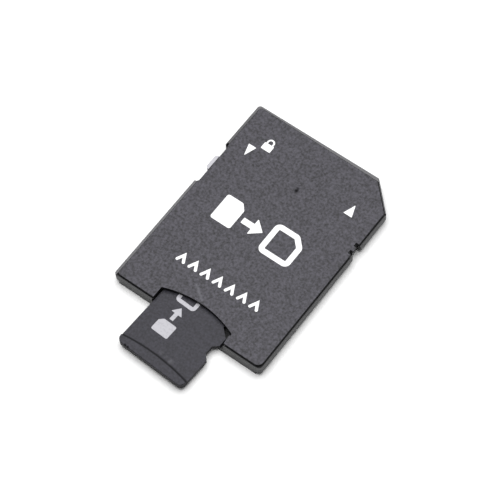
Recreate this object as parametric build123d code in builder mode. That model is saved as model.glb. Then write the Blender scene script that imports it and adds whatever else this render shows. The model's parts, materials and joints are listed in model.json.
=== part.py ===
"""A full-size memory card adapter with a small memory card part way into its slot.

The adapter lies on its contact face, label side up. Its front edge, where the host's pins
enter, is at +Y; the lock notch is on the -X side, the cut corner at +X +Y, and the slot for
the small card opens at -Y. The origin is the middle of the outline, on the contact face.
All sizes are millimetres.
"""

from build123d import *
from math import cos, radians, sin
import os

# Outline of the adapter, the standard size of a full-size card
adapter_width = 24.0
adapter_length = 32.0
adapter_thickness = 2.1
corner_cut = 4.0
corner_radius = 0.5
front_corner_radius = 0.5
cut_radius = 0.35
rail_width = 0.75
rail_step = 0.7

# Lower cover: floor, walls, and the rim that frames the label plate
slot_floor = 0.6
plate_seat = 1.5
rim_top = 1.75
high_rim_top = 2.0
rim_wall = 0.15
left_rim_wall = 0.39
rear_rim_wall = 0.17
front_rim_wall = 0.5
front_slant = 0.22
left_seat_radius = 0.3
rim_bevel = 0.08
outer_wall = 0.9
front_wall = 0.75
guide_wall = 0.7
rib_wall = 0.6
contact_floor = 0.7

# Upper cover: the label plate
side_inset = 0.24
rear_inset = 0.27
plate_gap = 0.03
plate_corner_radius = 0.9
plate_lip = 0.18
plate_undercut = 0.25
plate_bevel = 0.06
cutout_overhang = 0.05
cutout_taper = 0.2
cutout_side = 2.07
cutout_rise = 1.1
cutout_left_radius = 0.25
cutout_relief_radius = 0.22

# Locating pins of the upper cover and their bosses in the lower cover
pin_diameter = 1.0
pin_clearance = 0.1
pin_length = 0.7
boss_diameter = 2.2
pin_rear_margin = 2.8
pin_row_spacing = 11.0

# Notches in the long edges
notch_setback = 7.7
notch_length = 6.9
notch_depth = 0.55
notch_radius = 0.5
notch_wall = 0.3
side_notch_setback = 10.75
side_notch_length = 1.3
side_notch_depth = 0.45
nick_width = 0.5
nick_depth = 0.7
end_recess_width = 0.3
end_recess_length = 0.35
end_recess_margin = 0.15
end_recess_bottom = 1.2

# Lock slider, trapped between the two covers
slider_setback = 10.95
slider_crown_length = 2.4
slider_crown_depth = 0.5
slider_crown_drop = 0.08
slider_crown_radius = 0.45
slider_body_length = 4.4
slider_body_depth = 1.05
slider_neck_length = 2.0
slider_play = 0.05
slider_stop = 0.3
neck_bottom = 0.95
neck_top = 1.3

# Small card, standard size, seen from its label side with the contacts ahead
card_width = 11.0
card_length = 15.0
card_thickness = 0.7
card_shoulder_step = 1.3
card_rear_radius = 0.8
card_tip_radius = 0.4
card_shoulder_start = 8.87
card_shoulder_end = 9.97
card_notch_rear = 5.0
card_notch_front = 7.65
card_notch_depth = 0.72
card_notch_radius = 0.6
card_corner_radius = 0.3
card_shoulder_radius = 0.8
card_tip_bevel = 0.2
ridge_height = 0.3
ridge_side_length = 0.95
ridge_arc_radius = 30.0
ridge_edge_radius = 0.08

# Contact pads on the underside of the small card
card_pad_count = 8
card_pad_gap = 0.3
card_pad_length = 2.9
card_ground_pad_length = 3.3
card_pad_setback = 0.5
card_pad_thickness = 0.05
card_pad_sink = 0.01
card_pad_radius = 0.1
card_first_pad_margin = 1.0
card_ground_pin = 6

# Where the small card stands in the slot, and how far it travels
card_clearance_below = 0.1
card_skew = 2.6
card_out = 7.4
slot_clearance = 0.14
tip_gap = 0.3

# Flat contacts of the adapter, in the windows of the lower cover
corner_contact_margin = 3.125
last_contact_margin = 1.825
contact_last_pitch = 1.7
contact_pitch_saving = 0.075
contact_setback = 1.6
contact_length = 3.2
corner_contact_setback = 1.4
contact_rib = 0.6
narrow_contact_rib = 0.4
window_margin = 0.2
narrow_window_margin = 0.1
window_rear_margin = 0.3

# Stamped terminals, from the flat contacts back to the spring fingers
terminal_thickness = 0.15
lead_width = 0.5
finger_width = 0.5
bridge_width = 0.35
bridge_setback = 0.9
fan_length = 0.8
finger_low = 0.42
finger_touch_gap = 0.04
finger_reach = 2.3
finger_bend = 0.3
finger_pocket_floor = 0.25
finger_pocket_margin = 0.4

# Moulded carrier that holds the terminals
carrier_gap = 0.05
carrier_top = 1.48
carrier_lip_length = 1.07
carrier_lip_bottom = 0.98
bay_wall = 0.3
groove_gap = 0.02

# Spring strip beside the slot that catches the notch of the small card
latch_thickness = 0.15
latch_bottom_gap = 0.1
latch_height = 0.62
latch_bump_gap = 0.06
latch_pocket_width = 1.3
latch_length = 6.6
latch_radius = 0.35

half_width = adapter_width / 2
half_length = adapter_length / 2
cut_line = half_width + half_length - corner_cut

# The card slides along its own axis, which is turned by the skew.
skew = radians(card_skew)
card_bottom = slot_floor + card_clearance_below
card_rear_y = -half_length - card_out * cos(skew)
card_rear_x = -card_out * sin(skew)
card_plane = Plane(
    origin=(card_rear_x, card_rear_y, card_bottom),
    x_dir=(cos(skew), -sin(skew), 0),
    z_dir=(0, 0, 1),
)
tip_right = card_width / 2 - card_shoulder_step
card_pads_width = card_width - card_shoulder_step - 2 * card_first_pad_margin
card_pad_pitch = card_pads_width / (card_pad_count - 1)
card_pad_width = card_pad_pitch - card_pad_gap


def seated(across, along):
    """Place of a point of the small card once it is pushed in flush with the rear edge."""
    x = across * cos(skew) + along * sin(skew)
    y = -half_length + along * cos(skew) - across * sin(skew)
    return x, y


# Walls of the slot, set by the card's path and the clearance
slot_left = -card_width / 2 / cos(skew) - slot_clearance
slot_right = seated(card_width / 2, card_shoulder_start)[0] + slot_clearance
slot_narrow = seated(tip_right, card_length)[0] + slot_clearance
slot_shoulder_y = seated(card_width / 2, card_shoulder_start)[1] + slot_clearance
slot_narrow_y = seated(tip_right, card_shoulder_end)[1] + slot_clearance
card_stop_y = seated(-card_width / 2, card_length)[1] + tip_gap
carrier_rear = card_stop_y + carrier_lip_length
fan_start = carrier_rear + fan_length
cutout_left = slot_left + cutout_overhang
cutout_right = slot_right - cutout_overhang

# Middle of each flat contact, numbered 1 to 8 from the cut corner, with 9 in that corner
corner_contact = 9
contact_front = half_length - contact_setback
contact_rear = contact_front - contact_length
bridge_front = half_length - bridge_setback
pitches_width = adapter_width - corner_contact_margin - last_contact_margin - contact_last_pitch
contact_pitch = (pitches_width + 2 * contact_pitch_saving) / 7
contact_steps = [contact_pitch] * 4 + [contact_pitch - contact_pitch_saving] * 2 + [contact_last_pitch]
contact_x = [half_width - corner_contact_margin - contact_pitch]
for step in contact_steps:
    contact_x.append(contact_x[-1] - step)
contact_x.append(half_width - corner_contact_margin)
contact_width = contact_pitch - contact_rib - 2 * window_margin
narrow_contact_width = contact_last_pitch - narrow_contact_rib - 2 * narrow_window_margin
# Flat contact that each pin of the small card leads to; its ground pin serves two
contact_of_pin = {1: 9, 2: 1, 3: 2, 4: 4, 5: 5, 6: 6, 7: 7, 8: 8}
second_ground_contact = 3


def pad_across(pin):
    """Sideways place of a contact pad on the small card, from its middle line."""
    return tip_right - card_first_pad_margin - card_pad_pitch * (pin - 1)


def pad_length(pin):
    return card_ground_pad_length if pin == card_ground_pin else card_pad_length


def finger_place(pin):
    """Where the spring finger meets its pad on the seated card."""
    return seated(pad_across(pin), card_length - card_pad_setback - card_pad_length / 2)


def contact_is_narrow(number):
    return number in (7, 8)


def contact_span(number):
    """Width, rear end and front end of a flat contact."""
    width = narrow_contact_width if contact_is_narrow(number) else contact_width
    back = corner_contact_setback if number == corner_contact else 0
    return width, contact_rear - back, contact_front - back


def cover_outline(insets, left_radius, right_radius, slant=0):
    """Outline with the cut corner, drawn in from the left, right, rear and front edges, along
    the cut as at the right. A slant puts the left end of the front edge further forward."""
    left_inset, right_inset, rear_inset, front_inset = insets
    left, right = -half_width + left_inset, half_width - right_inset
    low, high = -half_length + rear_inset, half_length - front_inset
    cut = cut_line - right_inset * 2**0.5
    with BuildSketch() as outline:
        with BuildLine():
            Polyline(
                (left, low),
                (right, low),
                (right, cut - right),
                (cut - high, high),
                (left, high + slant),
                close=True,
            )
        make_face()
        fillet(outline.vertices().group_by(Axis.Y)[0].sort_by(Axis.X)[0], left_radius)
        fillet(outline.vertices().group_by(Axis.Y)[0].sort_by(Axis.X)[-1], right_radius)
        fillet(outline.vertices().group_by(Axis.Y)[-1].sort_by(Axis.X)[0], front_corner_radius)
        fillet(outline.vertices().sort_by(Axis((0, 0, 0), (1, 1, 0)))[-2:], cut_radius)
    return outline.sketch


def plate_outline(undercut):
    """Outline of the label plate, drawn in further along its right, rear and cut edges."""
    left_inset, front_inset = left_rim_wall + plate_gap, front_rim_wall + plate_gap
    insets = (left_inset, side_inset + undercut, rear_inset + undercut, front_inset)
    return cover_outline(insets, left_seat_radius, plate_corner_radius, front_slant)


def lock_notch(depth):
    """The long notch for the lock slider, to a given depth, with rounded inner corners."""
    length = notch_front - notch_rear
    with BuildSketch() as shape:
        with Locations((-half_width, (notch_front + notch_rear) / 2)):
            Rectangle(2 * depth, length)
        fillet(shape.vertices(), min(notch_radius, 0.9 * depth))
    return shape.sketch


def side_nicks():
    """The two narrow nicks at the ends of the small notch in the right edge."""
    with BuildSketch() as nicks:
        for end in (-1, 1):
            with Locations((half_width, side_notch_y + end * side_notch_length / 2)):
                Rectangle(2 * nick_depth, nick_width)
    return nicks.sketch


def slot_channel():
    """Path of the small card: full width to its shoulder, then narrow to its tip."""
    with BuildSketch() as channel:
        with BuildLine():
            Polyline(
                (slot_left, -half_length - outer_wall),
                (slot_right, -half_length - outer_wall),
                (slot_right, slot_shoulder_y),
                (slot_narrow, slot_narrow_y),
                (slot_narrow, carrier_rear),
                (slot_left, carrier_rear),
                close=True,
            )
        make_face()
    return channel.sketch


def carrier_bay(gap):
    """Bay in front of the slot, drawn in by a gap, beside the pocket of the lock slider."""
    low = carrier_rear - bay_wall + gap
    left = -half_width + notch_depth + notch_wall + slider_body_depth + bay_wall + gap
    right = half_width - outer_wall - side_notch_depth - gap
    front_left = -half_width + outer_wall + gap
    front_right = half_width - outer_wall - gap
    step = pocket_front + bay_wall + gap
    front = half_length - front_wall - gap
    cut = cut_line - (outer_wall + gap) * 2**0.5
    with BuildSketch() as bay:
        with BuildLine():
            Polyline(
                (left, low),
                (right, low),
                (right, step),
                (front_right, step),
                (front_right, cut - front_right),
                (cut - front, front),
                (front_left, front),
                (front_left, step),
                (left, step),
                close=True,
            )
        make_face()
    return bay.sketch


def card_pad_outline(pin):
    """A contact pad in the small card's own plane, with rounded corners."""
    front = card_length - card_pad_setback
    with BuildSketch() as outline:
        with Locations((pad_across(pin), front - pad_length(pin) / 2)):
            RectangleRounded(card_pad_width, pad_length(pin), card_pad_radius)
    return outline.sketch


# Notches and the travel of the lock slider, which sets the length of its pocket
notch_front = half_length - notch_setback
notch_rear = notch_front - notch_length
side_notch_y = half_length - side_notch_setback
slider_y = half_length - slider_setback
slider_front_y = notch_front - slider_stop - slider_crown_length / 2
slider_rear_y = notch_rear + slider_stop + slider_crown_length / 2
pocket_front = slider_front_y + slider_body_length / 2 + slider_stop / 2
pocket_rear = slider_rear_y - slider_body_length / 2 - slider_stop / 2
notch_floor_x = -half_width + notch_depth
slider_body_x = notch_floor_x + notch_wall + slider_play

pin_x = (slot_right + guide_wall + latch_pocket_width + half_width - outer_wall) / 2
pin_y = -half_length + pin_rear_margin
pin_places = [(side * pin_x, y) for side in (-1, 1) for y in (pin_y, pin_y + pin_row_spacing)]

os.makedirs("parts", exist_ok=True)

# Lower cover: the tray with the contact windows, guide rails, slot and slider pocket
with BuildPart() as lower_cover:
    with BuildSketch():
        add(cover_outline((0, 0, 0, 0), corner_radius, corner_radius))
    extrude(amount=high_rim_top)
    chamfer(lower_cover.faces().sort_by(Axis.Z)[-1].edges(), rim_bevel)
    with BuildSketch():
        with Locations((half_width, 0), (-half_width, 0)):
            Rectangle(2 * rail_width, adapter_length)
    extrude(amount=rail_step, mode=Mode.SUBTRACT)
    # Seat of the label plate, and the lower rim along the right and rear edges
    with BuildSketch(Plane.XY.offset(plate_seat)):
        insets = (left_rim_wall, rim_wall, rear_rim_wall, front_rim_wall)
        add(cover_outline(insets, left_seat_radius, corner_radius, front_slant))
    extrude(amount=adapter_thickness, mode=Mode.SUBTRACT)
    with BuildSketch(Plane.XY.offset(rim_top)):
        low_rim_length = adapter_length - corner_cut
        with Locations((left_rim_wall, -half_length + low_rim_length / 2)):
            Rectangle(adapter_width, low_rim_length)
    extrude(amount=adapter_thickness, mode=Mode.SUBTRACT)
    # Hollows beside the slot, with cross ribs and bosses left standing
    with BuildSketch(Plane.XY.offset(slot_floor)):
        rear_y = -half_length + outer_wall
        front_y = carrier_rear - 2 * bay_wall
        middle_y = (rear_y + front_y) / 2
        wide_left = slot_left - guide_wall + half_width - outer_wall
        wide_right = half_width - outer_wall - slot_right - guide_wall - latch_pocket_width
        left_front_y = min(front_y, pocket_rear - bay_wall)
        with Locations((slot_left - guide_wall - wide_left / 2, (rear_y + left_front_y) / 2)):
            Rectangle(wide_left, left_front_y - rear_y)
        with Locations((half_width - outer_wall - wide_right / 2, middle_y)):
            Rectangle(wide_right, front_y - rear_y)
        with Locations((0, middle_y)):
            Rectangle(adapter_width, rib_wall, mode=Mode.SUBTRACT)
        with Locations(*pin_places):
            Circle(boss_diameter / 2, mode=Mode.SUBTRACT)
    extrude(amount=adapter_thickness, mode=Mode.SUBTRACT)
    with BuildSketch(Plane.XY.offset(plate_seat - pin_length - pin_clearance)):
        with Locations(*pin_places):
            Circle((pin_diameter + pin_clearance) / 2)
    extrude(amount=adapter_thickness, mode=Mode.SUBTRACT)
    # Slot for the small card, through the rear wall
    with BuildSketch(Plane.XY.offset(slot_floor)):
        add(slot_channel())
    extrude(amount=adapter_thickness, mode=Mode.SUBTRACT)
    # Pocket of the latch strip, open to the slot where its bump stands
    with BuildSketch(Plane.XY.offset(slot_floor)):
        strip_width = latch_pocket_width - rib_wall
        pocket_y = slot_shoulder_y - latch_length / 2
        with Locations((slot_right + guide_wall + strip_width / 2, pocket_y)):
            Rectangle(strip_width, latch_length)
        with Locations((slot_right + guide_wall / 2, pocket_y)):
            Rectangle(guide_wall + rib_wall, latch_length - 2 * rib_wall)
    extrude(amount=adapter_thickness, mode=Mode.SUBTRACT)
    # Bay of the terminal carrier, and the deeper pocket below the spring fingers
    with BuildSketch(Plane.XY.offset(contact_floor)):
        add(carrier_bay(0))
    extrude(amount=adapter_thickness, mode=Mode.SUBTRACT)
    with BuildSketch(Plane.XY.offset(finger_pocket_floor)):
        first_x, finger_y = finger_place(1)
        last_x = finger_place(card_pad_count)[0]
        wide = first_x - last_x + finger_width + 2 * finger_pocket_margin
        low_y = finger_y - finger_reach / 2 - finger_pocket_margin
        high_y = fan_start
        with Locations(((first_x + last_x) / 2, (low_y + high_y) / 2)):
            Rectangle(wide, high_y - low_y)
    extrude(amount=adapter_thickness, mode=Mode.SUBTRACT)
    # Contact windows, open to the front edge
    for number in range(1, corner_contact + 1):
        width, back, _ = contact_span(number)
        margin = narrow_window_margin if contact_is_narrow(number) else window_margin
        with BuildSketch():
            with Locations((contact_x[number - 1], (back - window_rear_margin + half_length) / 2)):
                Rectangle(width + 2 * margin, half_length - back + window_rear_margin)
        extrude(amount=contact_floor, mode=Mode.SUBTRACT)
    # Notch of the lock slider, its pocket and the slot for its neck
    with BuildSketch():
        add(lock_notch(notch_depth))
    extrude(amount=adapter_thickness, mode=Mode.SUBTRACT)
    with BuildSketch(Plane.XY.offset(contact_floor)):
        pocket_x = notch_floor_x + notch_wall + slider_body_depth / 2
        with Locations((pocket_x, (pocket_front + pocket_rear) / 2)):
            Rectangle(slider_body_depth + 2 * slider_play, pocket_front - pocket_rear)
    extrude(amount=adapter_thickness, mode=Mode.SUBTRACT)
    with BuildSketch(Plane.XY.offset(neck_bottom)):
        with Locations((notch_floor_x + notch_wall / 2, (notch_front + notch_rear) / 2)):
            Rectangle(2 * notch_wall, notch_front - notch_rear - 2 * slider_stop)
    extrude(amount=adapter_thickness, mode=Mode.SUBTRACT)
    with BuildSketch(Plane.XY.offset(end_recess_bottom)):
        with Locations((-half_width + end_recess_margin + end_recess_width / 2, notch_front)):
            Rectangle(end_recess_width, 2 * end_recess_length)
    extrude(amount=adapter_thickness, mode=Mode.SUBTRACT)
    # Small notch in the other edge, with a nick at each end
    with BuildSketch():
        with Locations((half_width, side_notch_y)):
            Rectangle(2 * side_notch_depth, side_notch_length)
        add(side_nicks())
    extrude(amount=adapter_thickness, mode=Mode.SUBTRACT)
lower_cover.part.label = "lower_cover"
export_step(lower_cover.part, "parts/lower_cover.step")

# Upper cover: the label plate with the thumb cut-out over the slot
with BuildPart() as upper_cover:
    lip_bottom = adapter_thickness - plate_lip
    with BuildSketch(Plane.XY.offset(plate_seat)):
        add(plate_outline(plate_undercut))
    extrude(amount=lip_bottom - plate_seat)
    with BuildSketch(Plane.XY.offset(lip_bottom)):
        add(plate_outline(0))
    extrude(amount=plate_lip)
    with BuildSketch(Plane.XY.offset(plate_seat)):
        add(lock_notch(notch_depth))
        add(side_nicks())
    extrude(amount=adapter_thickness, mode=Mode.SUBTRACT)
    # Small bevel around the top
    chamfer(upper_cover.faces().sort_by(Axis.Z)[-1].edges(), min(plate_bevel, plate_lip / 2))
    # Thumb cut-out: straight sides and a shallow arc
    with BuildSketch(Plane.XY.offset(plate_seat)) as cutout:
        with BuildLine():
            side_end = -half_length + cutout_side
            Line((cutout_left, side_end), (cutout_left, -half_length))
            Line((cutout_left, -half_length), (cutout_right, -half_length))
            Line((cutout_right, -half_length), (cutout_right - cutout_taper, side_end))
            ThreePointArc(
                (cutout_right - cutout_taper, side_end),
                ((cutout_left + cutout_right - cutout_taper) / 2, side_end + cutout_rise),
                (cutout_left, side_end),
            )
        make_face()
        arc_ends = cutout.vertices().group_by(Axis.Y)[-1].sort_by(Axis.X)
        fillet(arc_ends[0], cutout_left_radius)
        with Locations((cutout_right - cutout_taper, side_end - cutout_relief_radius)):
            Circle(cutout_relief_radius)
    extrude(amount=adapter_thickness, mode=Mode.SUBTRACT)
    # Lip over the neck of the lock slider
    with BuildSketch(Plane.XY.offset(neck_top)):
        with Locations((notch_floor_x + notch_wall / 2, (notch_front + notch_rear) / 2)):
            Rectangle(notch_wall - slider_play, notch_front - notch_rear - 2 * slider_stop - slider_play)
    extrude(amount=plate_seat - neck_top)
    # Locating pins
    with BuildSketch(Plane.XY.offset(plate_seat - pin_length)):
        with Locations(*pin_places):
            Circle(pin_diameter / 2)
    extrude(amount=pin_length)
upper_cover.part.label = "upper_cover"
export_step(upper_cover.part, "parts/upper_cover.step")

# Lock slider: inner body, neck and the crown that the finger moves
with BuildPart() as lock_slider:
    with BuildSketch(Plane.XY.offset(contact_floor + slider_play)):
        with Locations((slider_body_x + slider_body_depth / 2 - slider_play, slider_y)):
            RectangleRounded(slider_body_depth - slider_play, slider_body_length, notch_wall)
    extrude(amount=plate_seat - contact_floor - 2 * slider_play)
    with BuildSketch(Plane.XY.offset(neck_bottom + slider_play)):
        with Locations((notch_floor_x + notch_wall / 2, slider_y)):
            Rectangle(2 * notch_wall, slider_neck_length)
    extrude(amount=neck_top - neck_bottom - 2 * slider_play)
    with BuildSketch(Plane.XY.offset(rail_step + slider_play)) as crown:
        with Locations((notch_floor_x - slider_play - slider_crown_depth / 2, slider_y)):
            Rectangle(slider_crown_depth, slider_crown_length)
        fillet(crown.vertices().group_by(Axis.X)[0], slider_crown_radius)
    extrude(amount=adapter_thickness - slider_crown_drop - rail_step - slider_play)
lock_slider.part.label = "lock_slider"
export_step(lock_slider.part, "parts/lock_slider.step")


def terminal_outline(pin, gap):
    """Flat part of a terminal: its contact, its slanted lead and the root of its finger."""
    number = contact_of_pin[pin]
    width, back, front = contact_span(number)
    x = contact_x[number - 1]
    finger_x = finger_place(pin)[0]
    if number == card_ground_pin:
        front = bridge_front
    with BuildSketch() as outline:
        with Locations((x, (back + front) / 2)):
            Rectangle(width + 2 * gap, front - back + 2 * gap)
        lead_start = (x, back + lead_width)
        lead_end = (finger_x, fan_start)
        middle = ((lead_start[0] + lead_end[0]) / 2, (lead_start[1] + lead_end[1]) / 2)
        SlotCenterPoint(middle, lead_end, lead_width + 2 * gap)
        with Locations((finger_x, (fan_start + carrier_rear - bay_wall) / 2)):
            Rectangle(finger_width + 2 * gap, fan_start - carrier_rear + bay_wall)
        if number == card_ground_pin:
            other = contact_x[second_ground_contact - 1]
            with Locations((other, (back + front) / 2)):
                Rectangle(contact_width + 2 * gap, front - back + 2 * gap)
            with Locations(((x + other) / 2, bridge_front - bridge_width / 2)):
                Rectangle(other - x, bridge_width + 2 * gap)
    return outline.sketch


# Terminals: one stamped and bent strip for each pin of the small card
finger_top = card_bottom - finger_touch_gap - terminal_thickness / 2
for pin in range(1, card_pad_count + 1):
    finger_x, finger_y = finger_place(pin)
    with BuildPart() as terminal:
        with BuildSketch(Plane.XY.offset(contact_floor)):
            add(terminal_outline(pin, 0))
        extrude(amount=terminal_thickness)
        with BuildSketch(Plane.YZ.offset(finger_x - finger_width / 2)):
            flat_z = contact_floor + terminal_thickness / 2
            low_z = finger_low + terminal_thickness / 2
            root_y = carrier_rear - bay_wall
            with BuildLine():
                FilletPolyline(
                    (fan_start, flat_z),
                    (root_y, flat_z),
                    (root_y - 2 * finger_bend, low_z),
                    (finger_y + finger_reach / 2, low_z),
                    (finger_y, finger_top),
                    (finger_y - finger_reach / 2, low_z),
                    radius=finger_bend / 2,
                )
            trace(line_width=terminal_thickness)
        extrude(amount=finger_width)
    terminal.part.label = f"terminal_{pin}"
    export_step(terminal.part, f"parts/terminal_{pin}.step")

# Terminal carrier: a moulded plate with a groove for each terminal
with BuildPart() as terminal_carrier:
    with BuildSketch(Plane.XY.offset(contact_floor)):
        add(carrier_bay(carrier_gap))
    extrude(amount=carrier_top - contact_floor)
    with BuildSketch(Plane.XY.offset(carrier_lip_bottom)):
        lip_left, lip_right = slot_left + carrier_gap, slot_narrow - carrier_gap
        lip_length = carrier_rear - card_stop_y
        with Locations(((lip_left + lip_right) / 2, card_stop_y + lip_length / 2)):
            Rectangle(lip_right - lip_left, lip_length)
    extrude(amount=carrier_top - carrier_lip_bottom)
    with BuildSketch(Plane.XY.offset(contact_floor)):
        for pin in range(1, card_pad_count + 1):
            add(terminal_outline(pin, groove_gap))
    extrude(amount=terminal_thickness, mode=Mode.SUBTRACT)
terminal_carrier.part.label = "terminal_carrier"
export_step(terminal_carrier.part, "parts/terminal_carrier.step")

# Card latch: a bent spring strip standing on edge beside the slot
with BuildPart() as card_latch:
    with BuildSketch(Plane.XY.offset(slot_floor + latch_bottom_gap)):
        strip_x = slot_right + guide_wall + latch_thickness
        bump_x = slot_right + latch_bump_gap - slot_clearance + latch_thickness
        top_y = slot_shoulder_y - latch_thickness
        bump_y = seated(card_width / 2, (card_notch_rear + card_notch_front) / 2)[1]
        with BuildLine():
            FilletPolyline(
                (strip_x, top_y),
                (strip_x, bump_y + 2 * latch_radius + guide_wall),
                (bump_x, bump_y),
                (strip_x, bump_y - 2 * latch_radius - guide_wall),
                (strip_x, top_y - latch_length + 2 * latch_thickness),
                radius=latch_radius,
            )
        trace(line_width=latch_thickness)
    extrude(amount=latch_height)
card_latch.part.label = "card_latch"
export_step(card_latch.part, "parts/card_latch.step")

# Small card: the moulded body with its shoulder, notch and finger ridge
with BuildPart() as card_body:
    right = card_width / 2
    notch_x = right - card_notch_depth
    with BuildSketch(card_plane) as card_outline:
        with BuildLine():
            Polyline(
                (-right, 0),
                (right, 0),
                (right, card_notch_rear),
                (notch_x, card_notch_rear + card_notch_depth),
                (notch_x, card_notch_front - card_notch_depth),
                (right, card_notch_front),
                (right, card_shoulder_start),
                (tip_right, card_shoulder_end),
                (tip_right, card_length),
                (-right, card_length),
                close=True,
            )
        make_face()
        rows = card_outline.vertices().group_by(Axis.Y)
        fillet(rows[0], card_rear_radius)
        fillet(rows[-1], card_tip_radius)
        fillet(rows[2] + rows[3], card_notch_radius)
        fillet(rows[1] + rows[4], card_corner_radius)
        fillet(rows[5] + rows[6], card_shoulder_radius)
    extrude(amount=card_thickness)
    # Finger ridge across the rear end, its front edge bowed towards the tip
    with BuildSketch(card_plane.offset(card_thickness)) as ridge:
        with BuildLine():
            Line((-right, ridge_side_length), (-right, 0))
            Line((-right, 0), (right, 0))
            Line((right, 0), (right, ridge_side_length))
            RadiusArc((right, ridge_side_length), (-right, ridge_side_length), -ridge_arc_radius)
        make_face()
        fillet(ridge.vertices().group_by(Axis.Y)[0], card_rear_radius)
    extrude(amount=ridge_height)
    # Bevel under the tip, and recesses for the contact pads
    underside = card_body.faces().sort_by(Axis.Z)[0]
    chamfer(underside.edges().sort_by(Axis.Y)[-1], card_tip_bevel)
    with BuildSketch(card_plane):
        for pin in range(1, card_pad_count + 1):
            add(card_pad_outline(pin))
    extrude(amount=card_pad_thickness + card_pad_sink, mode=Mode.SUBTRACT)
    # Small round on the edges of the ridge that a thumb meets
    fillet(card_body.faces().sort_by(Axis.Z)[-1].edges(), ridge_edge_radius)
card_body.part.label = "card_body"
export_step(card_body.part, "parts/card_body.step")

# Gold contact pads on the underside of the small card
for pin in range(1, card_pad_count + 1):
    with BuildPart() as card_pad:
        with BuildSketch(card_plane.offset(card_pad_sink)):
            add(card_pad_outline(pin))
        extrude(amount=card_pad_thickness)
    card_pad.part.label = f"card_pad_{pin}"
    export_step(card_pad.part, f"parts/card_pad_{pin}.step")
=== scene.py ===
"""Looks of a memory card adapter with a small memory card part way into its slot.

The solids come packed from the CAD source and stay where they are. This script gives them
their finishes, prints the marks on them, and sets up the floor, the light and the camera.
"""

# %% [markdown]
# # A memory card adapter, dressed for its photograph
#
# The CAD model already has every solid piece: two covers, the lock tab, the terminals and the
# small card. Blender works in metres, so a millimetre gets a name here, and each size below is
# a number of millimetres times that name.

import json
from math import cos, radians, sin

import bpy
import numpy as np
from mathutils import Matrix, Vector


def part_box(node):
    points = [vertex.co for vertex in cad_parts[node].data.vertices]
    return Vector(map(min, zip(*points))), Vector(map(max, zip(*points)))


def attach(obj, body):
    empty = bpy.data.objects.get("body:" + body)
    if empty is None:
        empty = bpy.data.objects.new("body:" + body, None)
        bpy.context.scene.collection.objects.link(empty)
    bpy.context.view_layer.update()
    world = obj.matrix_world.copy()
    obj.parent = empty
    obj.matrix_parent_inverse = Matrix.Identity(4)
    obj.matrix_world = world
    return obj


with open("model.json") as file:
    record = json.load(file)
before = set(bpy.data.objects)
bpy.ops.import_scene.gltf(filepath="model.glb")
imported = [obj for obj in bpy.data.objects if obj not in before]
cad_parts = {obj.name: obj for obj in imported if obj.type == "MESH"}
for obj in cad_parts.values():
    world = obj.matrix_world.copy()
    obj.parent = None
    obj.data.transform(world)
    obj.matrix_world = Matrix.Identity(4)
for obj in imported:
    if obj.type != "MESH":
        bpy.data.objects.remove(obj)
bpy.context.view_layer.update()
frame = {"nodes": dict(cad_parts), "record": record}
nodes = frame["nodes"]
mm = 0.001

# %% [markdown]
# ## The camera
#
# The photograph was taken with a long lens, from high up and to the right of the slot. Its
# place comes from the outline of the adapter, which is a standard 24 by 32 mm: a camera that
# puts the outline's edges where the photograph has them is the real one, up to a fraction of a
# pixel. It is kept as an azimuth, an elevation, a roll and a distance, because those are what a
# photographer would change.

# %% Place the camera
camera_azimuth = radians(41.601)
camera_elevation = radians(61.806)
camera_roll = radians(-5.271)
camera_distance = 269.59 * mm
camera_target = Vector((0.137, -2.383, 1.0)) * mm
sensor_mm = 36.0
lens_mm = 146.75
nearest_seen = 1 * mm
farthest_seen = 10.0


def camera_axes(azimuth, elevation, roll):
    """Right, up and back directions: back is a point on the unit sphere, right is level, and
    both right and up then turn about back by the roll."""
    back = Vector((sin(azimuth) * cos(elevation), -cos(azimuth) * cos(elevation), sin(elevation)))
    level = Vector((0, 0, 1)).cross(back).normalized()
    upright = back.cross(level)
    right = level * cos(roll) + upright * sin(roll)
    up = upright * cos(roll) - level * sin(roll)
    return right, up, back


right, up, back = camera_axes(camera_azimuth, camera_elevation, camera_roll)
camera_data = bpy.data.cameras.new("camera")
camera_data.sensor_width = sensor_mm
camera_data.lens = lens_mm
camera_data.clip_start = nearest_seen
camera_data.clip_end = farthest_seen
camera = bpy.data.objects.new("camera", camera_data)
camera.matrix_world = Matrix.Translation(camera_target + back * camera_distance) @ Matrix(
    (right, up, back)
).transposed().to_4x4()
bpy.context.scene.collection.objects.link(camera)
bpy.context.scene.camera = camera
print("camera at", [round(v / mm, 1) for v in camera.matrix_world.translation], "mm")

# %% [markdown]
# ## Colours and nodes
#
# A colour picked from a picture is an sRGB value, with a curve built in that suits the eye. A
# renderer adds light, so it needs the linear value, and one function turns one into the other.
# A second small function adds any node with its settings and links, so that a material reads as
# a short list of what it is made of. Most sockets go by name. A Mix node has several with the
# same name, so its sockets go by number: 0 is the share, 6 and 7 are its two colours, and 2 and
# 3 are its two numbers.


# %% Helpers for materials
def linear(hex_colour):
    """Linear red, green, blue and alpha of an sRGB hex colour: each channel c becomes
    ((c + 0.055) / 1.055) to the power 2.4, or c / 12.92 where c is very dark."""
    channels = np.array([int(hex_colour[i:i + 2], 16) for i in (1, 3, 5)]) / 255
    curved = ((channels + 0.055) / 1.055) ** 2.4
    return (*np.where(channels <= 0.04045, channels / 12.92, curved).tolist(), 1.0)


def add_node(tree, kind, inputs=None, **settings):
    """Adds one node, with its settings, and its inputs, by name or number, as values or as
    sockets to link."""
    node = tree.nodes.new(kind)
    for name, value in settings.items():
        setattr(node, name, value)
    for name, value in (inputs or {}).items():
        if isinstance(value, bpy.types.NodeSocket):
            tree.links.new(value, node.inputs[name])
        else:
            node.inputs[name].default_value = value
    return node


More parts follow.
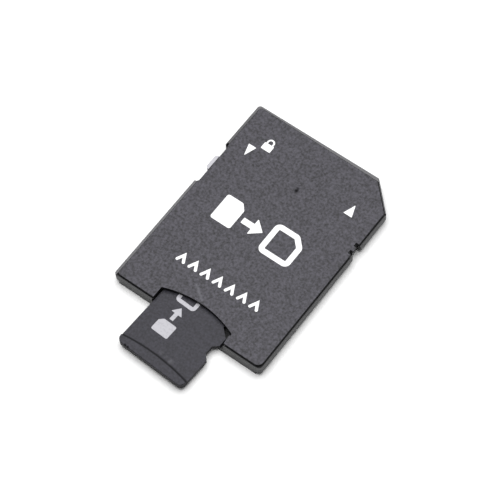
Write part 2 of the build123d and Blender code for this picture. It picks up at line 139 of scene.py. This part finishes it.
def new_material(name, **values):
    """A node material with the given values on its shader's sockets, given with _ for space."""
    material = bpy.data.materials.new(name)
    material.use_nodes = True
    tree = material.node_tree
    shader = tree.nodes["Principled BSDF"]
    for socket, value in values.items():
        shader.inputs[socket.replace("_", " ")].default_value = value
    return material, tree, shader


# %% [markdown]
# ## Spark-textured ABS of the label plate
#
# Both covers are moulded in ABS. The tool face over the label plate was eroded by sparks, which
# leaves a field of tiny pits and peaks: the plastic is matt, and a close look shows light and
# dark specks rather than one grey. Real pits are a few hundredths of a millimetre wide, which
# is finer than a pixel, so they are drawn 0.33 mm apart, as coarse as the specks that the
# photograph shows. One noise picks the specks and also drives the bump. The sparks only bite on
# the flat. The flanks get a near-black painted shade in place of the specks, so a share that
# falls from 1 on an upward face to 0 on a flank mixes the two. That share reads the object's own
# normal, so it moves with the piece.

# %% Make the spark-textured ABS
abs_ior = 1.54
abs_polish = 0.22
# painted shade: the near-black colour that the label plate's flanks take in place of the specks
painted_flank_shade = "#0e0e10"
flank_roughness = 0.7
noise_low, noise_high = 0.3, 0.7  # nearly every value of a noise lies between these
spark_dark, spark_light = "#0f0e13", "#4c4a53"
spark_grain = 0.33 * mm
spark_octaves = 3.0
spark_octave_weight = 0.6
spark_depth = 0.012 * mm
spark_bump = 0.6
spark_roughness = 0.5
spark_gloss = 0.3
# below the first of these normals a face takes the painted shade, and at the second the specks are
# full
spark_none_z, spark_full_z = 0.75, 0.99  # the normal's Z where the sparks start and are full


def facing_up(tree, coordinates, least, full):
    """Share of an upward face: 0 where the normal's Z is the least or less, 1 where it is full."""
    normal = add_node(tree, "ShaderNodeSeparateXYZ", {"Vector": coordinates.outputs["Normal"]})
    share = add_node(
        tree,
        "ShaderNodeMapRange",
        {"Value": normal.outputs["Z"], "From Min": least, "From Max": full},
    )
    return share.outputs["Result"]


plate_abs, tree, shader = new_material(
    "spark textured ABS", IOR=abs_ior, Specular_IOR_Level=spark_gloss
)
coordinates = add_node(tree, "ShaderNodeTexCoord")
place = coordinates.outputs["Object"]
flat_share = facing_up(tree, coordinates, spark_none_z, spark_full_z)
specks = add_node(
    tree,
    "ShaderNodeTexNoise",
    {
        "Vector": place,
        "Scale": 1 / spark_grain,
        "Detail": spark_octaves,
        "Roughness": spark_octave_weight,
    },
).outputs["Fac"]
share = add_node(
    tree,
    "ShaderNodeMapRange",
    {"Value": specks, "From Min": noise_low, "From Max": noise_high},
).outputs["Result"]
plate_colour = add_node(
    tree,
    "ShaderNodeMix",
    {0: share, 6: linear(spark_dark), 7: linear(spark_light)},
    data_type="RGBA",
).outputs[2]
# Painted shade: the flanks take the near-black colour in place of the specks.
plate_colour = add_node(
    tree,
    "ShaderNodeMix",
    {0: flat_share, 6: linear(painted_flank_shade), 7: plate_colour},
    data_type="RGBA",
).outputs[2]
pits = add_node(
    tree, "ShaderNodeBump", {"Height": specks, "Strength": spark_bump, "Distance": spark_depth}
)
tree.links.new(pits.outputs["Normal"], shader.inputs["Normal"])
polish = add_node(
    tree,
    "ShaderNodeMapRange",
    {"Value": flat_share, "To Min": flank_roughness, "To Max": spark_roughness},
)
tree.links.new(polish.outputs["Result"], shader.inputs["Roughness"])
print("ABS specks are", spark_grain / mm, "mm apart")

# %% [markdown]
# ### Marks of use on the label
#
# A few marks of use are drawn where the photograph has them. Near the slot is a faint rubbed
# line. A rubbed line is a distance to a straight line: the nearest point of the line is its
# start plus the run times the share of the run that the place has passed. A share that falls
# from 1 to 0 over that distance mixes in another colour.

# %% Add the rubbed line
label_height = 2.1
rub_start = Vector((-2.05, -11.0, label_height)) * mm
rub_end = Vector((-0.15, -12.4, label_height)) * mm
rub_half_width = 0.28 * mm
rub_strength = 0.3
rub_shade = "#77777e"

rub_run = rub_end - rub_start
offset = add_node(
    tree, "ShaderNodeVectorMath", {0: place, 1: rub_start}, operation="SUBTRACT"
).outputs["Vector"]
passed = add_node(
    tree,
    "ShaderNodeVectorMath",
    {0: offset, 1: rub_run / rub_run.length_squared},
    operation="DOT_PRODUCT",
).outputs["Value"]
passed = add_node(tree, "ShaderNodeClamp", {"Value": passed}).outputs["Result"]
nearest = add_node(
    tree, "ShaderNodeVectorMath", {0: rub_run, "Scale": passed}, operation="SCALE"
).outputs["Vector"]
away = add_node(
    tree, "ShaderNodeVectorMath", {0: offset, 1: nearest}, operation="DISTANCE"
).outputs["Value"]
rub = add_node(
    tree,
    "ShaderNodeMapRange",
    {"Value": away, "From Min": rub_half_width, "From Max": 0.0, "To Max": rub_strength},
).outputs["Result"]
plate_colour = add_node(
    tree, "ShaderNodeMix", {0: rub, 6: plate_colour, 7: linear(rub_shade)}, data_type="RGBA"
).outputs[2]
tree.links.new(plate_colour, shader.inputs["Base Color"])
print("rubbed line:", round(rub_run.length / mm, 2), "mm long")

# %% [markdown]
# A spot of dirt is a distance to a point. Dirt is dull as well as dark, so it takes over both the
# colour and the roughness. The same few nodes serve every spot on the two cards, and also a spot
# of painted shade on the lower cover, so they stand in one function: the label has a dark speck
# near the front, which is longer than it is wide and so takes two spots, and a fainter one by the
# right edge.

# %% Add the specks to the label
spot_core = 0.3
# This dark colour is real dirt on the label and on the card's ridge, and painted shade in the
# slot's corner on the lower cover.
dirt_and_shade, dirt_and_shade_roughness = "#0b0b0c", 1.0


def add_spots(material, spots):
    """Mixes in each spot by a share that falls from its strength, at the core's share of its
    radius, to 0 at the radius. A spot is a place, a radius, a shade, a roughness and a
    strength."""
    tree = material.node_tree
    shader = tree.nodes["Principled BSDF"]
    place = add_node(tree, "ShaderNodeTexCoord").outputs["Object"]
    colour = shader.inputs["Base Color"].links[0].from_socket
    polish = shader.inputs["Roughness"].links[0].from_socket
    for middle, radius, shade, roughness, strength in spots:
        away = add_node(
            tree, "ShaderNodeVectorMath", {0: place, 1: Vector(middle) * mm}, operation="DISTANCE"
        ).outputs["Value"]
        share = add_node(
            tree,
            "ShaderNodeMapRange",
            {"Value": away, "From Min": radius, "From Max": spot_core * radius, "To Max": strength},
        ).outputs["Result"]
        colour = add_node(
            tree, "ShaderNodeMix", {0: share, 6: colour, 7: linear(shade)}, data_type="RGBA"
        ).outputs[2]
        polish = add_node(
            tree, "ShaderNodeMix", {0: share, 2: polish, 3: roughness}, data_type="FLOAT"
        ).outputs[0]
    tree.links.new(colour, shader.inputs["Base Color"])
    tree.links.new(polish, shader.inputs["Roughness"])
    print("spots on the", material.name, len(spots))


add_spots(plate_abs, [
    ((0.18, 7.95, label_height), 0.38 * mm, dirt_and_shade, dirt_and_shade_roughness, 1.0),
    ((0.18, 8.38, label_height), 0.32 * mm, dirt_and_shade, dirt_and_shade_roughness, 0.6),
    ((10.22, 2.37, label_height), 0.3 * mm, dirt_and_shade, dirt_and_shade_roughness, 0.4),
])

# %% [markdown]
# ## The smooth mouldings
#
# The lower cover comes from a plain ground tool, so its rim and sides have a sheen that the
# label plate lacks. The small card is an epoxy moulding with a satin face, the lock tab is white
# ABS, and the carrier that holds the terminals is a black liquid-crystal polymer, which flows
# into thin walls. All four are one recipe: a soft grain between two close shades, with a slight
# bump from the same grain, their own sheen, and duller flanks in a darker painted shade. On the
# lower cover only the high rim shines, because that is what a thumb and the host's slot rub, and
# the faces below the rim take the painted shade too.

# %% Make the lower cover's ABS, the card's epoxy, the white ABS and the carrier's polymer
epoxy_ior = 1.55
polymer_ior = 1.6
grain_octaves = 2.0
grain_depth = 0.003 * mm
grain_bump = 0.4
flank_z, flat_z = 0.3, 0.6  # the normal's Z where the flat's finish starts and is full


def smooth_moulding(
    name, shades, grain, flat_roughness, upright_roughness, gloss, ior, shine_and_shade_height=0.0
):
    """Plastic from a smooth tool: a dark and a light shade in a soft grain, which give way to a
    third shade, a painted shade, where a face stands upright or lies below the height where the
    shine starts."""
    # the third shade is a painted shade for upright faces, and for faces below the shine height
    dark, light, painted_shade = shades
    material, tree, shader = new_material(name, IOR=ior, Specular_IOR_Level=gloss)
    coordinates = add_node(tree, "ShaderNodeTexCoord")
    place = coordinates.outputs["Object"]
    height = add_node(tree, "ShaderNodeSeparateXYZ", {"Vector": place}).outputs["Z"]
    high = add_node(
        tree, "ShaderNodeMath", {0: height, 1: shine_and_shade_height}, operation="GREATER_THAN"
    ).outputs["Value"]
    upward = facing_up(tree, coordinates, flank_z, flat_z)
    flat_share = add_node(
        tree, "ShaderNodeMath", {0: upward, 1: high}, operation="MULTIPLY"
    ).outputs["Value"]
    grains = add_node(
        tree,
        "ShaderNodeTexNoise",
        {"Vector": place, "Scale": 1 / grain, "Detail": grain_octaves},
    ).outputs["Fac"]
    share = add_node(
        tree,
        "ShaderNodeMapRange",
        {"Value": grains, "From Min": noise_low, "From Max": noise_high},
    ).outputs["Result"]
    colour = add_node(
        tree, "ShaderNodeMix", {0: share, 6: linear(dark), 7: linear(light)}, data_type="RGBA"
    ).outputs[2]
    # Painted shade: upright faces and faces below the shine height take the third shade.
    colour = add_node(
        tree, "ShaderNodeMix", {0: flat_share, 6: linear(painted_shade), 7: colour}, data_type="RGBA"
    ).outputs[2]
    polish = add_node(
        tree,
        "ShaderNodeMapRange",
        {"Value": flat_share, "To Min": upright_roughness, "To Max": flat_roughness},
    )
    bump = add_node(
        tree, "ShaderNodeBump", {"Height": grains, "Strength": grain_bump, "Distance": grain_depth}
    )
    tree.links.new(colour, shader.inputs["Base Color"])
    tree.links.new(polish.outputs["Result"], shader.inputs["Roughness"])
    tree.links.new(bump.outputs["Normal"], shader.inputs["Normal"])
    return material


# The third shade of each moulding below is a painted shade on its flanks; on the lower cover it
# also covers every face below the rim.
rub_and_shade_height = 1.9 * mm
tray_abs = smooth_moulding(
    "ground tool ABS",
    ("#28272b", "#38373c", "#151518"),
    grain=0.3 * mm,
    flat_roughness=abs_polish,
    upright_roughness=0.5,
    gloss=0.5,
    ior=abs_ior,
    shine_and_shade_height=rub_and_shade_height,
)
card_epoxy = smooth_moulding(
    "moulded epoxy",
    ("#1d1c23", "#32313a", "#1a191e"),
    grain=0.3 * mm,
    flat_roughness=0.45,
    upright_roughness=0.65,
    gloss=0.21,
    ior=epoxy_ior,
)
tab_abs = smooth_moulding(
    "white ABS",
    ("#a9a8ae", "#b1b0b6", "#9f9ea4"),
    grain=0.3 * mm,
    flat_roughness=0.35,
    upright_roughness=flank_roughness,
    gloss=0.5,
    ior=abs_ior,
)
carrier_polymer = smooth_moulding(
    "black liquid crystal polymer",
    ("#1b1b1d", "#242427", "#1b1b1d"),
    grain=0.2 * mm,
    flat_roughness=0.5,
    upright_roughness=0.5,
    gloss=0.5,
    ior=polymer_ior,
)
print("smooth mouldings:", [m.name for m in (tray_abs, card_epoxy, tab_abs, carrier_polymer)])

# %% [markdown]
# ### Marks of use, and painted shade, on the small card and the lower cover
#
# A painted shade darkens a thin line along the foot of the grip ridge, which is an arc, so the
# distance to the arc's centre finds it. The ridge itself has one dark nick, and faint pale scuffs
# lie on the flat. A painted shade also darkens the corner of the adapter's slot, under the
# cover's edge, and a thumb has dulled the shine of the rim ahead of the lock tab.

# %% Add the painted shade along the ridge's foot to the card
# Painted shade: a dark line along the foot of the grip ridge, where the ridge shades the card.
ridge_centre = Vector((-1.63, -51.9, 0.0)) * mm
ridge_foot_radius = 30.07 * mm
ridge_foot_shade_half_width = 0.26 * mm
ridge_foot_shade, ridge_foot_shade_roughness = "#131316", 0.75
seen_from_above = (1.0, 1.0, 0.0)

tree = card_epoxy.node_tree
shader = tree.nodes["Principled BSDF"]
place = add_node(tree, "ShaderNodeTexCoord").outputs["Object"]
level_place = add_node(
    tree, "ShaderNodeVectorMath", {0: place, 1: seen_from_above}, operation="MULTIPLY"
).outputs["Vector"]
away = add_node(
    tree, "ShaderNodeVectorMath", {0: level_place, 1: ridge_centre}, operation="DISTANCE"
).outputs["Value"]
from_foot = add_node(
    tree, "ShaderNodeMath", {0: away, 1: ridge_foot_radius}, operation="SUBTRACT"
).outputs["Value"]
from_foot = add_node(
    tree, "ShaderNodeMath", {0: from_foot}, operation="ABSOLUTE"
).outputs["Value"]
share = add_node(
    tree,
    "ShaderNodeMapRange",
    {
        "Value": from_foot,
        "From Min": ridge_foot_shade_half_width,
        "From Max": spot_core * ridge_foot_shade_half_width,
    },
).outputs["Result"]
# The painted shade is mixed into the card's colour and roughness along the ridge's foot.
card_colour = shader.inputs["Base Color"].links[0].from_socket
card_colour = add_node(
    tree, "ShaderNodeMix", {0: share, 6: card_colour, 7: linear(ridge_foot_shade)}, data_type="RGBA"
).outputs[2]
card_polish = shader.inputs["Roughness"].links[0].from_socket
card_polish = add_node(
    tree, "ShaderNodeMix", {0: share, 2: card_polish, 3: ridge_foot_shade_roughness}, data_type="FLOAT"
).outputs[0]
tree.links.new(card_polish, shader.inputs["Roughness"])
tree.links.new(card_colour, shader.inputs["Base Color"])
print("grime along an arc of", round(ridge_foot_radius / mm, 2), "mm")

# %% Add the nick and the scuffs to the card, and the painted shade and the dull patch to the tray
card_height = 1.4
scuff, scuff_roughness = "#8a8990", 0.45
dulled, dulled_roughness = "#28272b", 0.5

add_spots(card_epoxy, [
    ((-4.4, -23.19, 1.65), 0.28 * mm, dirt_and_shade, dirt_and_shade_roughness, 1.0),
    ((-3.95, -23.21, 1.6), 0.28 * mm, dirt_and_shade, dirt_and_shade_roughness, 1.0),
    ((0.0, -21.15, card_height), 0.45 * mm, scuff, scuff_roughness, 0.07),
    ((0.9, -21.3, card_height), 0.35 * mm, scuff, scuff_roughness, 0.05),
    ((1.75, -21.5, card_height), 0.55 * mm, scuff, scuff_roughness, 0.12),
])
add_spots(tray_abs, [
    # Painted shade: a dark spot in the corner of the slot, under the cover's edge.
    ((5.1, -13.9, card_height), 1.2 * mm, dirt_and_shade, dirt_and_shade_roughness, 1.0),
    ((-12.0, 10.5, 2.0), 5.5 * mm, dulled, dulled_roughness, 0.6),
])

# %% [markdown]
# ## The metals
#
# The terminals are stamped from copper alloy and plated with gold where they touch. Rolling
# leaves fine lines along the strip, so the roughness varies in a noise that is stretched along
# the length. The latch is bare spring steel, rolled the same way.

# %% Make the gold plate and the spring steel
rolling_pitch = 0.05 * mm
rolling_length = 2.0 * mm


def rolled_metal(name, colour, smooth, rough):
    """A metal with rolling lines along Y: noise squeezed across and stretched along them."""
    material, tree, shader = new_material(name, Metallic=1.0, Base_Color=linear(colour))
    place = add_node(tree, "ShaderNodeTexCoord").outputs["Object"]
    stretch = (1 / rolling_pitch, 1 / rolling_length, 1 / rolling_pitch)
    lines_at = add_node(
        tree, "ShaderNodeMapping", {"Vector": place, "Scale": stretch}
    ).outputs["Vector"]
    lines = add_node(
        tree, "ShaderNodeTexNoise", {"Vector": lines_at, "Scale": 1.0}
    ).outputs["Fac"]
    polish = add_node(
        tree,
        "ShaderNodeMapRange",
        {
            "Value": lines,
            "From Min": noise_low,
            "From Max": noise_high,
            "To Min": smooth,
            "To Max": rough,
        },
    )
    tree.links.new(polish.outputs["Result"], shader.inputs["Roughness"])
    return material


gold_plate = rolled_metal("gold plate", "#e6bf6a", smooth=0.18, rough=0.34)
spring_steel = rolled_metal("spring steel", "#b9bbbe", smooth=0.25, rough=0.42)
print("rolled metals:", gold_plate.name, "and", spring_steel.name)

# %% Give each CAD node its finish
finish_of_slot = {
    "adapter_shell": plate_abs,
    "slider_white": tab_abs,
    "carrier_moulding": carrier_polymer,
    "card_moulding": card_epoxy,
    "spring_steel": spring_steel,
    "contact_gold": gold_plate,
}
finish_of_node = {
    part["node"]: finish_of_slot[part["material_slot"]] for part in frame["record"]["subparts"]
}
finish_of_node["lower_cover"] = tray_abs
for name, finish in finish_of_node.items():
    for material_slot in nodes[name].material_slots:
        material_slot.material = finish
print("finished nodes:", len(finish_of_node))

# %% [markdown]
# ## Printed marks
#
# The marks are pad-printed: a soft pad lays down a film of ink some 10 micrometres thick. An
# image texture could show them, but then the marks would be only as sharp as the image. Here
# each mark is a thin solid of its own, so its edge is as crisp as the real print from any side.
# The film reaches a little way into the plastic, so that no gap shows under it.

# %% A film between two sides
ink_thickness = 0.015 * mm
ink_sink = 0.004 * mm


def film(side_left, side_right, base, closed):
    """Closed film between two sides, as rows of four corners: left low, right low, right high,
    left high. Neighbouring rows are joined, and the first and last rows are faces of their own
    unless the stroke is a loop."""
    low, high = base - ink_sink, base + ink_thickness
    rows = len(side_left)
    at = np.empty((rows, 4, 3))
    at[:, 0, :2], at[:, 3, :2] = side_left, side_left
    at[:, 1, :2], at[:, 2, :2] = side_right, side_right
    at[:, :2, 2], at[:, 2:, 2] = low, high
    first = 4 * np.arange(rows if closed else rows - 1)[:, None]
    second = (first + 4) % (4 * rows)
    side = np.arange(4)
    after = (side + 1) % 4
    corners = [first + side, second + side, second + after, first + after]
    faces = np.stack(corners, axis=-1).reshape(-1, 4)
    if not closed:
        last = 4 * rows - 4
        faces = np.concatenate([faces, [[0, 1, 2, 3], [last + 3, last + 2, last + 1, last]]])
    return at.reshape(-1, 3), faces


# %% [markdown]
# ### Pen strokes
#
# Every line of a mark is a pen stroke: a path, with the pen's radius to each side of it. At a
# bend the two sides meet on the bisector, and at an end the width shrinks along half a circle,
# which gives the round ends of a pen.

# %% A pen stroke along a path
end_steps = 7
end_first_turn = 0.08


def stroke(path, width, base, closed=False, square_ends=False):
    """A pen stroke of radius r. At a bend between the unit normals m and n, the side is at
    r (m + n) / (1 + m . n). In a round end the rows stand at r (1 - cos t) and are r sin t wide
    to each side, for t from nearly 0 to a quarter turn."""
    points = np.asarray(path, float)
    radius = width / 2
    if closed:
        run = np.roll(points, -1, axis=0) - points
    else:
        run = np.diff(points, axis=0)
    run = run / np.linalg.norm(run, axis=1)[:, None]
    normal = np.stack([-run[:, 1], run[:, 0]], axis=-1)
    before = np.roll(normal, 1, axis=0) if closed else normal[:-1]
    after = normal if closed else normal[1:]
    side = radius * (before + after) / (1 + (before * after).sum(axis=1))[:, None]
    if square_ends:
        side = np.concatenate([normal[:1] * radius, side, normal[-1:] * radius])
    elif not closed:
        turn = np.linspace(end_first_turn, np.pi / 2, end_steps)[:, None]
        set_in, spread = radius * (1 - np.cos(turn)), radius * np.sin(turn)
        start = points[0] + run[0] * set_in
        end = points[-1] - run[-1] * set_in[::-1]
        points = np.concatenate([start, points[1:-1], end])
        side = np.concatenate([normal[0] * spread, side, normal[-1] * spread[::-1]])
    return film(points + side, points - side, base, closed)


# %% [markdown]
# ### Filled marks
#
# A filled mark is its outline twice, low and high, with a face over each and a wall between
# them. Ink never ends in a sharp corner, so the corners of an outline become small arcs.


# %% A filled patch, and an outline with round corners
def patch(corners, base):
    """A flat filled mark: its outline, listed counterclockwise, low and high, with a face over
    each and a wall round it."""
    corners = np.asarray(corners, float)
    count = len(corners)
    low = np.column_stack([corners, np.full(count, base - ink_sink)])
    high = np.column_stack([corners, np.full(count, base + ink_thickness)])
    index = np.arange(count)
    follow = (index + 1) % count
    walls = np.stack([index, follow, follow + count, index + count], axis=-1)
    faces = [index[::-1].tolist(), (index + count).tolist(), *walls.tolist()]
    return np.concatenate([low, high]), faces


def rounded_outline(corners, radius, steps=8):
    """Polygon with arcs for corners. An arc's centre is on the corner's bisector, where it is
    one radius from both sides, and the arc turns from one side's normal to the next one's."""
    corners = np.asarray(corners, float)
    before = corners - np.roll(corners, 1, axis=0)
    after = np.roll(corners, -1, axis=0) - corners
    before /= np.linalg.norm(before, axis=1)[:, None]
    after /= np.linalg.norm(after, axis=1)[:, None]
    turn = np.arctan2(
        before[:, 0] * after[:, 1] - before[:, 1] * after[:, 0], (before * after).sum(axis=1)
    )
    setback = radius * np.tan(np.abs(turn) / 2)
    normal = np.stack([-before[:, 1], before[:, 0]], axis=-1) * np.sign(turn)[:, None]
    centre = corners - before * setback[:, None] + normal * radius
    start = np.arctan2(-normal[:, 1], -normal[:, 0])
    angle = start[:, None] + turn[:, None] * np.linspace(0, 1, steps)
    arcs = centre[:, None] + radius * np.stack([np.cos(angle), np.sin(angle)], axis=-1)
    return arcs.reshape(-1, 2)


# %% [markdown]
# ### One mesh for each mark
#
# A mark has several strokes and patches, which go into one mesh. It rides on the body that it
# is printed on, so it moves with that body's joint.


# %% Join the parts of a mark
def printed_mark(name, parts, material, body):
    """One mesh from several strokes and patches, riding on its body."""
    points = np.concatenate([part[0] for part in parts])
    starts = np.cumsum([0] + [len(part[0]) for part in parts[:-1]])
    faces = [
        [int(i) + int(start) for i in face]
        for part, start in zip(parts, starts)
        for face in part[1]
    ]
    mesh = bpy.data.meshes.new(name)
    mesh.from_pydata(points.tolist(), [], faces)
    mesh.materials.append(material)
    piece = bpy.data.objects.new(name, mesh)
    bpy.context.scene.collection.objects.link(piece)
    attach(piece, body)
    print(name, "faces:", len(faces))
    return piece


# %% [markdown]
# ## The ink
#
# Pad-printing ink is a pigment in a thin resin. It is matt, hides the plastic well, and follows
# the grain below it, so the print on the adapter is a clean white with a slight unevenness. The
# card's print is greyer, because a thinner film lets the dark epoxy through.

# %% Make the inks
ink_ior = 1.5
ink_grain = 0.25 * mm
ink_thin_at, ink_full_at = 0.32, 0.5  # the noise's values where the film is thinnest and full


def pad_ink(name, thin, full, roughness):
    """Matt ink whose film is a little thinner where a soft noise is low."""
    material, tree, shader = new_material(name, IOR=ink_ior, Roughness=roughness)
    place = add_node(tree, "ShaderNodeTexCoord").outputs["Object"]
    thickness = add_node(
        tree,
        "ShaderNodeTexNoise",
        {"Vector": place, "Scale": 1 / ink_grain, "Detail": grain_octaves},
    ).outputs["Fac"]
    share = add_node(
        tree,
        "ShaderNodeMapRange",
        {"Value": thickness, "From Min": ink_thin_at, "From Max": ink_full_at},
    ).outputs["Result"]
    colour = add_node(
        tree, "ShaderNodeMix", {0: share, 6: linear(thin), 7: linear(full)}, data_type="RGBA"
    ).outputs[2]
    tree.links.new(colour, shader.inputs["Base Color"])
    return material


white_ink = pad_ink("white pad-printing ink", "#e9e9ea", "#f6f6f6", roughness=0.6)
grey_ink = pad_ink("thin pad-printing ink", "#a7a6ac", "#b3b2b8", roughness=0.55)
print("inks:", white_ink.name, "and", grey_ink.name)

# %% [markdown]
# ## Marks on the adapter
#
# Two solid triangles stand by the edges: one points at the lock, the other shows which end goes
# into the host first. The rest is drawn as plain pictograms, so that no word is needed. A
# padlock names the lock tab. The large sign shows a small card going into a larger one, and a
# row of chevrons under it points the way in.


# %% Draw the pictograms
def placed(path, origin, turn, scale):
    """A path turned by an angle, scaled and moved to its origin on the face."""
    turned = np.array([[cos(turn), sin(turn)], [-sin(turn), cos(turn)]])
    return np.asarray(path, float) @ turned * scale + np.asarray(origin)


def insert_sign(origin, turn, scale, base, pen):
    """Pictogram, drawn in millimetres round its middle: a filled small card with its shoulder,
    an arrow in one outline, and the outline of a larger card with one corner cut."""
    small = [(-6.5, -2.1), (-3.2, -2.1), (-3.2, 1.2), (-4.0, 2.1), (-6.5, 2.1)]
    arrow = [
        (-2.6, -0.45), (-0.9, -0.45), (-0.9, -1.35), (0.75, 0.0),
        (-0.9, 1.35), (-0.9, 0.45), (-2.6, 0.45),
    ]
    large = [(1.9, -2.1), (6.1, -2.1), (6.1, 0.9), (4.9, 2.1), (1.9, 2.1)]
    small_edge, arrow_edge, large_edge = [
        placed(rounded_outline(corners, radius), origin, turn, scale * mm)
        for corners, radius in ((small, 0.35), (arrow, 0.08), (large, 0.5))
    ]
    return [
        patch(small_edge, base),
        patch(arrow_edge, base),
        stroke(large_edge, pen * scale * mm, base, closed=True),
    ]


shackle_radius = 0.45
shackle_centre_y = 0.6
shackle_foot_y = 0.36
shackle_pen = 0.24
shackle_steps = 16


def padlock(origin, scale, base):
    """Pictogram: a filled body with rounded corners, and a shackle that is half a circle on two
    short legs, which end where the body starts."""
    body = rounded_outline(
        [(-0.75, -0.75), (0.75, -0.75), (0.75, 0.35), (-0.75, 0.35)], radius=0.15
    )
    angle = np.linspace(0, np.pi, shackle_steps)
    arch = np.stack(
        [shackle_radius * np.cos(angle), shackle_radius * np.sin(angle) + shackle_centre_y],
        axis=-1,
    )
    right_foot, left_foot = (shackle_radius, shackle_foot_y), (-shackle_radius, shackle_foot_y)
    shackle = np.concatenate([[right_foot], arch, [left_foot]])
    return [
        patch(placed(body, origin, 0, scale * mm), base),
        stroke(
            placed(shackle, origin, 0, scale * mm), shackle_pen * scale * mm, base, square_ends=True
        ),
    ]


# %% Print the triangles, the padlock and the large sign
label_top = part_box("upper_cover")[1].z
marker_front = np.array([(-9.41, 10.16), (-8.87, 8.3), (-8.16, 10.16)]) * mm
marker_insert = np.array([(7.21, 8.9), (8.57, 8.9), (7.93, 10.74)]) * mm
marker_radius = 0.05 * mm
padlock_middle = np.array([-7.0, 11.3]) * mm
sign_middle = np.array([-0.4, 0.2]) * mm
sign_pen = 0.8

markers = [
    patch(rounded_outline(corners, marker_radius), label_top)
    for corners in (marker_front, marker_insert)
]
printed_mark("printed_markers", markers, white_ink, "adapter")
lock_sign = padlock(padlock_middle, 1.0, label_top)
printed_mark("printed_padlock", lock_sign, white_ink, "adapter")
large_sign = insert_sign(sign_middle, 0.0, 1.0, label_top, sign_pen)
printed_mark("printed_insert_sign", large_sign, white_ink, "adapter")

# %% Print the row of chevrons
chevron_count = 7
chevron_pitch = 2.0 * mm
chevron_row_y = -9.0 * mm
chevron_pen = 0.42 * mm
chevron = np.array([(-0.62, -0.62), (0.0, 0.55), (0.62, -0.62)])
chevron_x = (np.arange(chevron_count) - (chevron_count - 1) / 2) * chevron_pitch
row = [
    stroke(placed(chevron, (x, chevron_row_y), 0, mm), chevron_pen, label_top) for x in chevron_x
]
printed_mark("printed_chevrons", row, white_ink, "adapter")

# %% [markdown]
# ## Mark on the small card
#
# The small card carries the same pictogram, turned a quarter so that it reads with the card on
# its side. Its far half runs on under the cover, as a print does that was made before the card
# went in. The mark rides with the card, so it has to clear the cover above it when the card
# slides.

# %% Print the mark on the small card
card_skew = radians(2.6)
card_sign_middle = np.array([-1.8, -15.1]) * mm
card_sign_scale = 0.64
card_sign_pen = 0.85
card_sign = insert_sign(
    card_sign_middle, np.pi / 2 - card_skew, card_sign_scale, card_height * mm, card_sign_pen
)
printed_mark("printed_card_sign", card_sign, grey_ink, "small_card")

# %% [markdown]
# ## Floor and light
#
# The product lies on white paper under one large soft box, in a room that is dim by comparison.
# The box lights the paper until it is nearly blank, the paper lights the sides of the card from
# below, and only a narrow dark seam is left where they meet. Gaps and undercuts see neither the
# box nor the paper, so they go almost black, and the painted shade on the flanks adds to that
# dark, which is what draws the outlines of the pieces.

# %% Lay the floor
floor_half = 3.0
floor_corners = [(-1, -1), (1, -1), (1, 1), (-1, 1)]
floor_mesh = bpy.data.meshes.new("floor")
floor_mesh.from_pydata(
    [(x * floor_half, y * floor_half, 0) for x, y in floor_corners], [], [(0, 1, 2, 3)]
)
floor = bpy.data.objects.new("floor", floor_mesh)
bpy.context.scene.collection.objects.link(floor)
paper = new_material(
    "white paper", Base_Color=linear("#f7f7f7"), Roughness=0.9, Specular_IOR_Level=0.1
)[0]
floor_mesh.materials.append(paper)
print("floor:", 2 * floor_half, "m wide")

# %% Light the scene
white = (1.0, 1.0, 1.0, 1.0)
room_light = 0.12
lamp_place = Vector((-0.08, 0.14, 0.85))
lamp_size = 1.1
lamp_watts = 14.0

world = bpy.data.worlds.new("dim room")
world.use_nodes = True
background = world.node_tree.nodes["Background"]
background.inputs["Color"].default_value = white
background.inputs["Strength"].default_value = room_light
bpy.context.scene.world = world
bpy.context.scene.view_settings.view_transform = "Standard"


def soft_lamp(name, place, size, watts):
    """A square lamp that faces the middle of the adapter."""
    data = bpy.data.lights.new(name, "AREA")
    data.shape = "SQUARE"
    data.size = size
    data.energy = watts
    lamp = bpy.data.objects.new(name, data)
    facing = place.to_track_quat("Z", "Y").to_matrix().to_4x4()
    lamp.matrix_world = Matrix.Translation(place) @ facing
    bpy.context.scene.collection.objects.link(lamp)
    return lamp


lamp = soft_lamp("lamp overhead", lamp_place, lamp_size, lamp_watts)
print(lamp.name, "is", round(lamp_place.length, 2), "m away")
